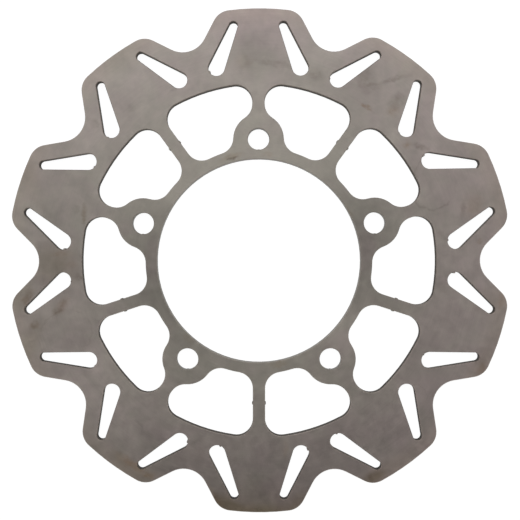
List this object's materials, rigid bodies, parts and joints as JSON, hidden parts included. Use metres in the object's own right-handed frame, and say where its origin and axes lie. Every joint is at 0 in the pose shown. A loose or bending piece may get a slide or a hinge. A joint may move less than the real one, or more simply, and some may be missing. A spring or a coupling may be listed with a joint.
{
  "type": "brake disc",
  "caption": "Flat one-piece motorcycle brake disc with a wavy rim, tapered wiping slots, lightening windows and a bolted hub ring around a large bore.",
  "frame": {"origin": "centre of the bore on the face that sits on the hub", "axes": "+Z is the wheel's axis, from the hub face to the outer face; +Y passes through one bolt hole and the lobe beyond it; the disc lies in the XY plane"},
  "size_m": [0.2406, 0.245, 0.005],
  "materials": {
    "disc_steel": "ground stainless, satin, with a faint brown oil and heat tint"
  },
  "bodies": {
    "root": {"brake_disc": "disc_steel"}
  },
  "joints": []
}
